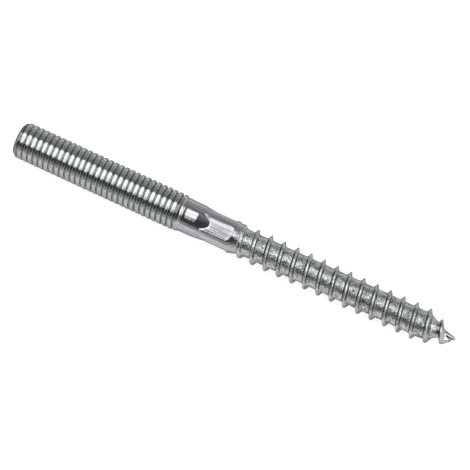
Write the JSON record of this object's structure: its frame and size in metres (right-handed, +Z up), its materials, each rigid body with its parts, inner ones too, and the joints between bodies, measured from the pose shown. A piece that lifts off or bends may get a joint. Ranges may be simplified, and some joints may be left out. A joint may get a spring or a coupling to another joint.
{
  "type": "double-ended screw",
  "caption": "Steel screw with a metric machine thread at its blunt end, a coarse wood thread with a gimlet point at its far end, and a plain shank with wrench flats between them.",
  "frame": {"origin": "on the surface that the screw lies on, below the middle of its length and of its width", "axes": "+X along the screw from the machine-thread end towards the wood-thread point, +Z up, the screw lying level with its upper wrench flat leaning 15 degrees towards -Y"},
  "size_m": [0.1, 0.0078, 0.0079],
  "materials": {
    "zinc_plated_steel": "bright zinc plate over rolled steel, glossy, slightly uneven on the wood thread's core"
  },
  "bodies": {
    "root": {"double_ended_screw": "zinc_plated_steel"}
  },
  "joints": []
}
